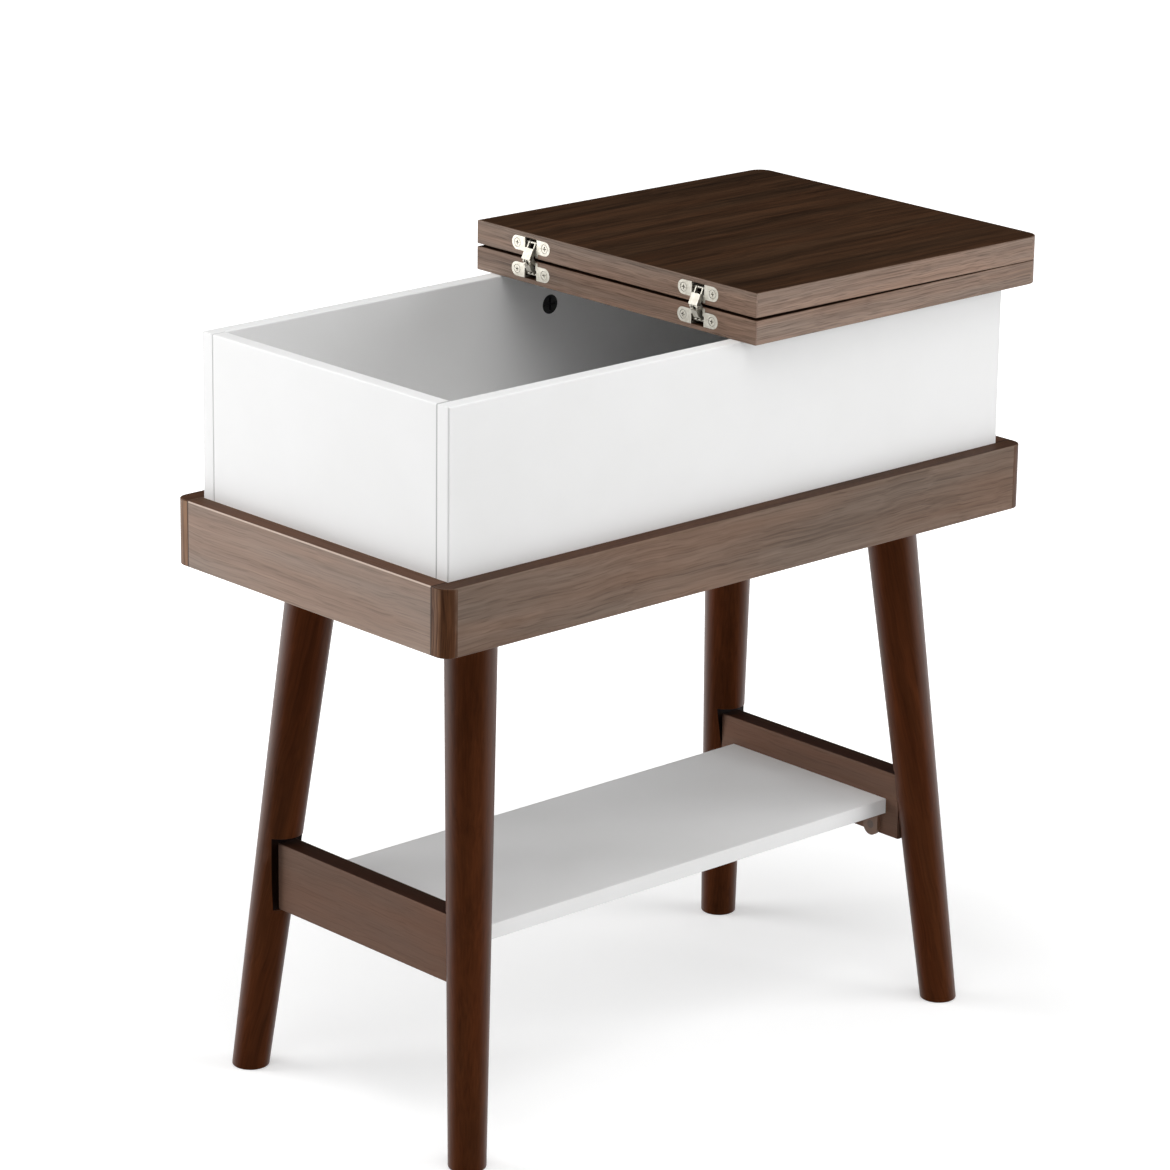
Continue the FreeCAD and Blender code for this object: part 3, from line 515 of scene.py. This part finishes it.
def laminate(name, base, shift, seam=None):
    """Matt white laminate with a fine pressed texture, and a line where the next board meets it."""
    material, tree, shader, place = new_material(name)
    moved = put(tree, "ShaderNodeMapping", {"Vector": place, "Location": shift}).outputs[0]
    cloud, height = fine_surface(tree, moved, LAMINATE_PITCH, LAMINATE_CLOUD)
    plain = mixed(tree, ranged(tree, cloud, *MIDDLE), rgba(tinted(base, LAMINATE_DIM)), rgba(base))
    edge_patches = edge_share(tree, place, LAMINATE_EDGE, LAMINATE_EDGE_SHARE)
    lined = mixed(tree, edge_patches, plain, rgba(LAMINATE_EDGE_GREY))
    if seam:
        line = math_of(tree, "MULTIPLY", seam_share(tree, place, seam), LAMINATE_SEAM_SHARE)
        lined = mixed(tree, line, lined, rgba(LAMINATE_SEAM))
    tree.links.new(lined, shader.inputs["Base Color"])
    tree.links.new(ranged(tree, cloud, *MIDDLE, *LAMINATE_ROUGH), shader.inputs["Roughness"])
    shader.inputs["Specular IOR Level"].default_value = LAMINATE_SPECULAR
    bumped(tree, shader, height, LAMINATE_RELIEF, LAMINATE_BUMP)
    return material


def plated(name, base, rough, drawn):
    """Plated metal with drawn lines, duller patches and painted shade as dark outlines along its edges and
    grooves.
    """
    material, tree, shader, place = new_material(name)
    cloud, height = fine_surface(tree, scaled(tree, place, drawn), 1.0, PLATE_CLOUD)
    plain = mixed(tree, ranged(tree, cloud, *MIDDLE), rgba(tinted(base, PLATE_DULL)), rgba(base))
    # Painted shade: dark outlines along the edges, screw rings and recesses.
    lined = edge_share(tree, place, PLATE_EDGE, PLATE_SHADE_SHARE)
    tree.links.new(mixed(tree, lined, plain, rgba(dimmed(base, PLATE_SHADE))), shader.inputs["Base Color"])
    swings = (rough + swing for swing in PLATE_ROUGH)
    tree.links.new(ranged(tree, height, *MIDDLE, *swings), shader.inputs["Roughness"])
    shader.inputs["Metallic"].default_value = 1.0
    bumped(tree, shader, height, PLATE_RELIEF, PLATE_BUMP)
    return material


def moulded(name, base, rough, pitch, edge_tone):
    """Coated or moulded surface with a fine spark and lighter edges."""
    material, tree, shader, place = new_material(name)
    cloud, height = fine_surface(tree, place, pitch, MOULD_CLOUD)
    plain = mixed(tree, ranged(tree, cloud, *MIDDLE), rgba(dimmed(base, MOULD_DIM)), rgba(base))
    edge_patches = edge_share(tree, place, MOULD_EDGE, MOULD_EDGE_SHARE)
    tree.links.new(mixed(tree, edge_patches, plain, rgba(edge_tone)), shader.inputs["Base Color"])
    swings = (rough + swing for swing in MOULD_ROUGH)
    tree.links.new(ranged(tree, cloud, *MIDDLE, *swings), shader.inputs["Roughness"])
    bumped(tree, shader, height, MOULD_RELIEF, MOULD_BUMP)
    return material


def dress(material, *names):
    """Gives the named pieces one finish."""
    for name in names:
        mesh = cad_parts[name].data
        if not mesh.materials:
            mesh.materials.append(None)
        for index in range(len(mesh.materials)):
            mesh.materials[index] = material


class TABLE_OT_finish_leaves(bpy.types.Operator):
    """Finish both leaves of the top: dark faces and lighter edge strips"""
    bl_idname = "table.finish_leaves"
    bl_label = "Leaves"

    def execute(self, context):
        tint = context.scene.table_colours
        face = wood("Walnut top", turned(ALONG_X), tint.top_light, tint.top_dark, contrast=1.1, pores=0.30,
                    rough=0.45, specular=0.01, edge=tint.long_light, edge_most=0.35)
        dress(face, "fixed_leaf", "flip_leaf")
        closer = 1.8
        # Painted shade darkens the tops of the edging, and painted light brightens its faces along Y.
        lit_and_shaded_tones = (("Z", (0.4, 0.32, 0.28)), ("Y", (1.20, 1.24, 1.28)))
        for name, vector_of, strip in (("Walnut edging", round_the_sides, "edge_strip"),
                                       ("Walnut hinge edging", turned(ALONG_Y), "hinge_strip")):
            finish = wood(name, finer(vector_of, closer), tint.edging_light, tint.edging_dark, contrast=0.9,
                          pores=0.5, rough=0.5, specular=0.05, edge=tint.corner_dark, edge_most=0.4,
                          faces=lit_and_shaded_tones, satin=0.2)
            dress(finish, "fixed_leaf_" + strip, "flip_leaf_" + strip)
        return {"FINISHED"}


class TABLE_OT_finish_tray(bpy.types.Operator):
    """Finish the tray frame: aprons with grain along them and bands on the rounded corners"""
    bl_idname = "table.finish_tray"
    bl_label = "Tray frame"

    def execute(self, context):
        tint = context.scene.table_colours
        # Painted shade: the tops of the aprons are darkened, as they miss the sheen of the upright faces.
        ledge_shade = (("Z", (0.38, 0.28, 0.23)),)
        side_y, top_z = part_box("left_apron")[1][1:]
        long_sides = wood("Walnut long aprons", turned(ALONG_X), tint.long_light, tint.long_dark, contrast=0.9,
                          pores=0.25, rough=0.5, specular=0.03, edge=tint.edging_light, edge_most=0.4,
                          faces=ledge_shade, satin=0.1)
        dress(long_sides, "front_apron", "back_apron")
        # The end aprons carry a painted highlight along their edges and their top edge.
        ends = wood("Walnut end aprons", turned(ALONG_Y), tint.end_light, tint.end_dark, contrast=0.8,
                    pores=0.22, rough=0.5, specular=0.03, edge=tint.edge_highlight, edge_most=0.9,
                    faces=ledge_shade, seam=side_y, rim=top_z, satin=0.4)
        dress(ends, "left_apron", "right_apron")
        # Painted sheen brightens the flat ends facing X, and painted shade darkens the tops.
        corners = wood("Walnut corner bands", turned(ALONG_Z), tint.corner_light, tint.corner_dark,
                       contrast=1.6, pores=0.4, rough=0.40, specular=0.2, head_on=0.06,
                       edge=tint.long_light, edge_most=0.3,
                       faces=(("X", (2.4, 3.0, 3.6)), ("Z", (0.7, 0.7, 0.7))))
        dress(corners, "apron_end_bands")
        return {"FINISHED"}


class TABLE_OT_finish_box(bpy.types.Operator):
    """Finish the white box and the lower shelf"""
    bl_idname = "table.finish_box"
    bl_label = "Box and shelf"

    def execute(self, context):
        white = tuple(context.scene.table_colours.laminate)
        boards = ("box_front_panel", "box_back_panel", "box_left_panel", "box_right_panel", "box_floor",
                  "lower_shelf")
        shift_x, shift_y = 0.7, 0.3
        for number, board in enumerate(boards):
            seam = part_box(board)[1][1] if board in ("box_left_panel", "box_right_panel") else None
            name = "White laminate " + board.replace("_", " ")
            dress(laminate(name, white, (shift_x * number, shift_y * number, 0.0), seam), board)
        return {"FINISHED"}


class TABLE_OT_finish_legs(bpy.types.Operator):
    """Finish the legs and stretchers: dark stain with grain along each of them"""
    bl_idname = "table.finish_legs"
    bl_label = "Legs and stretchers"

    def execute(self, context):
        tint = context.scene.table_colours
        for end, out_x in (("left", -1.0), ("right", 1.0)):
            for side, out_y in (("front", -1.0), ("back", 1.0)):
                leg = f"{side}_{end}_leg"
                low, high = (Vector(corner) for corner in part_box(leg))
                spread = high - low
                lean = (-spread.x * out_x, -spread.y * out_y, spread.z)
                finish = wood("Stained " + leg.replace("_", " "), along_line(lean), tint.stain_light,
                              tint.stain_dark, contrast=0.6, pores=0.15, rough=0.40, specular=0.03,
                              head_on=0.30, edge=tint.long_dark, edge_most=0.2)
                # Painted shade in the seat where the stretcher's end sits.
                paint_notch_shade(finish, end + "_stretcher", tint.notch)
                lacquer(finish)
                dress(finish, leg)
        # Painted shade darkens the tops of the stretchers.
        bars = wood("Stained stretchers", turned(ALONG_Y), tint.bar_light, tint.bar_dark, contrast=0.6,
                    pores=0.15, rough=0.4, specular=0.05, edge=tint.bar_light, edge_most=0.3,
                    faces=(("Z", (0.22, 0.14, 0.10)),))
        dress(bars, "left_stretcher", "right_stretcher")
        return {"FINISHED"}


class TABLE_OT_finish_hinges(bpy.types.Operator):
    """Finish the folding hinges in bright nickel plate"""
    bl_idname = "table.finish_hinges"
    bl_label = "Hinges"

    def execute(self, context):
        nickel = plated("Hinge nickel", tuple(context.scene.table_colours.nickel), rough=0.55,
                        drawn=(300.0, 6000.0, 6000.0))
        for side in ("front", "rear"):
            for part in ("fixed_hinge_cup", "flip_hinge_cup", "lower_hinge_arm", "upper_hinge_arm"):
                dress(nickel, f"{side}_{part}")
        dress(nickel, "fixed_hinge_screws", "flip_hinge_screws", "fixed_hinge_pins", "flip_hinge_pins",
              "hinge_knee_rivets", "lower_arm_slide_pins", "upper_arm_slide_pins")
        return {"FINISHED"}


class TABLE_OT_finish_fasteners(bpy.types.Operator):
    """Finish the cams, screws, bolts, plates, dowels and shelf brackets"""
    bl_idname = "table.finish_fasteners"
    bl_label = "Fasteners and brackets"

    def execute(self, context):
        tint = context.scene.table_colours
        zinc = plated("Zinc plate", tuple(tint.zinc), rough=0.36, drawn=(5000.0, 5000.0, 900.0))
        dress(zinc, "apron_screws", "box_floor_screws", "cam_bolts", "leg_plate_screws", "leg_hanger_bolts")
        black = moulded("Black coating", tuple(tint.black), rough=0.42, pitch=2500.0,
                        edge_tone=(0.10, 0.10, 0.10))
        dress(black, "cam_locks", "leg_plates")
        plastic = moulded("Brown plastic", tuple(tint.plastic), rough=0.5, pitch=1800.0,
                          edge_tone=(0.20, 0.12, 0.08))
        dress(plastic, "shelf_brackets")
        browned = moulded("Browned steel", tuple(tint.browned), rough=0.42, pitch=2500.0,
                          edge_tone=(0.22, 0.14, 0.10))
        dress(browned, "shelf_bracket_screws")
        dark_grain = 0.7
        beech = wood("Beech dowels", turned(ALONG_Z), tint.beech, dimmed(tint.beech, dark_grain), contrast=0.8,
                     pores=0.2, rough=0.6, specular=0.3, edge=tint.beech, edge_most=0.2)
        dress(beech, "box_dowels", "stretcher_dowels")
        return {"FINISHED"}


class TABLE_OT_stage(bpy.types.Operator):
    """Set the floor, the soft lamps, the even light and the camera"""
    bl_idname = "table.stage"
    bl_label = "Stage"

    def execute(self, context):
        studio = context.scene.table_studio
        self.lay_floor(studio)
        self.light(studio)
        self.set_camera(context, studio)
        context.scene.view_settings.view_transform = "Standard"
        return {"FINISHED"}

    def lay_floor(self, studio):
        """A wide pale floor that shows white where nothing shades it."""
        bpy.ops.object.select_all(action="DESELECT")
        bpy.ops.mesh.primitive_plane_add(size=FLOOR_SIZE, location=(0.0, 0.0, 0.0))
        floor = bpy.context.object
        floor.name = "floor"
        material, tree, shader, place = new_material("Pale floor")
        cloud, _ = fine_surface(tree, place, FLOOR_PITCH, FLOOR_CLOUD)
        shade = mixed(tree, cloud, rgba(dimmed(studio.floor, FLOOR_DIM)), rgba(studio.floor))
        tree.links.new(shade, shader.inputs["Base Color"])
        shader.inputs["Roughness"].default_value = FLOOR_ROUGH
        shader.inputs["Specular IOR Level"].default_value = FLOOR_SPECULAR
        ray = put(tree, "ShaderNodeLightPath").outputs
        mirrored = math_of(tree, "MAXIMUM", ray["Is Glossy Ray"], ray["Is Transmission Ray"])
        seen = math_of(tree, "MAXIMUM", ray["Is Camera Ray"], mirrored)
        shader.inputs["Emission Color"].default_value = WHITE
        away = vector_math(tree, "LENGTH", place).outputs["Value"]
        far_glow = studio.floor_glow + studio.floor_rise
        glow = ranged(tree, away, *FLOOR_RISE_SPAN, studio.floor_glow, far_glow)
        tree.links.new(math_of(tree, "MULTIPLY", seen, glow), shader.inputs["Emission Strength"])
        floor.data.materials.append(material)

    def light(self, studio):
        """Soft lamps on both sides and overhead, and an even light from above."""
        for name, place, size, power in LAMPS:
            bpy.ops.object.light_add(type="AREA", location=place)
            lamp = bpy.context.object
            lamp.name = name
            lamp.data.size = size
            lamp.data.energy = getattr(studio, power)
            aim = Vector(LAMP_AIM) - Vector(place)
            lamp.rotation_euler = aim.to_track_quat("-Z", "Y").to_euler()
        world = bpy.data.worlds.new("Even light")
        world.use_nodes = True
        tree = world.node_tree
        height = parts_of(tree, put(tree, "ShaderNodeTexCoord").outputs["Generated"])["Z"]
        strength = ranged(tree, height, *SKY_SPAN, studio.sky * SKY_LOW, studio.sky)
        background = tree.nodes["Background"]
        background.inputs["Color"].default_value = WHITE
        tree.links.new(strength, background.inputs["Strength"])
        bpy.context.scene.world = world

    def set_camera(self, context, studio):
        """The camera, from the front left and a little above."""
        level = math.cos(studio.elevation)
        back = Vector((math.sin(studio.azimuth) * level, -math.cos(studio.azimuth) * level,
                       math.sin(studio.elevation)))
        right = Vector(UPWARDS).cross(back).normalized()
        right = Matrix.Rotation(studio.roll, 3, back) @ right
        up = back.cross(right)
        bpy.ops.object.camera_add()
        camera = bpy.context.object
        camera.name = "camera"
        camera.data.lens = studio.lens
        camera.data.sensor_width = SENSOR
        turn = Matrix((right, up, back)).transposed().to_4x4()
        camera.matrix_world = Matrix.Translation(Vector(studio.aim) + back * studio.distance) @ turn
        context.scene.camera = camera


OPERATORS = (TABLE_OT_finish_leaves, TABLE_OT_finish_tray, TABLE_OT_finish_box, TABLE_OT_finish_legs,
             TABLE_OT_finish_hinges, TABLE_OT_finish_fasteners, TABLE_OT_stage)


class TABLE_PT_panel(bpy.types.Panel):
    """Lists the table's pieces and its stage"""
    bl_idname = "TABLE_PT_panel"
    bl_label = "Flip-top end table"
    bl_space_type = "VIEW_3D"
    bl_region_type = "UI"
    bl_category = "Table"

    def draw(self, context):
        for operator in OPERATORS:
            self.layout.operator(operator.bl_idname)


GROUPS = (("table_colours", TableColours), ("table_grain", TableGrain), ("table_studio", TableStudio))


def register():
    """Registers the classes and hangs the settings on the scene."""
    for made in [kind for _, kind in GROUPS] + list(OPERATORS) + [TABLE_PT_panel]:
        bpy.utils.register_class(made)
    for name, kind in GROUPS:
        setattr(bpy.types.Scene, name, PointerProperty(type=kind))


def unregister():
    """Takes the settings and the classes away again."""
    for name, _ in GROUPS:
        delattr(bpy.types.Scene, name)
    for made in [TABLE_PT_panel] + list(reversed(OPERATORS)) + [kind for _, kind in GROUPS]:
        bpy.utils.unregister_class(made)


def main():
    """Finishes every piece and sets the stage."""
    register()
    for operator in OPERATORS:
        group, action = operator.bl_idname.split(".")
        getattr(getattr(bpy.ops, group), action)()


if __name__ == "__main__":
    main()
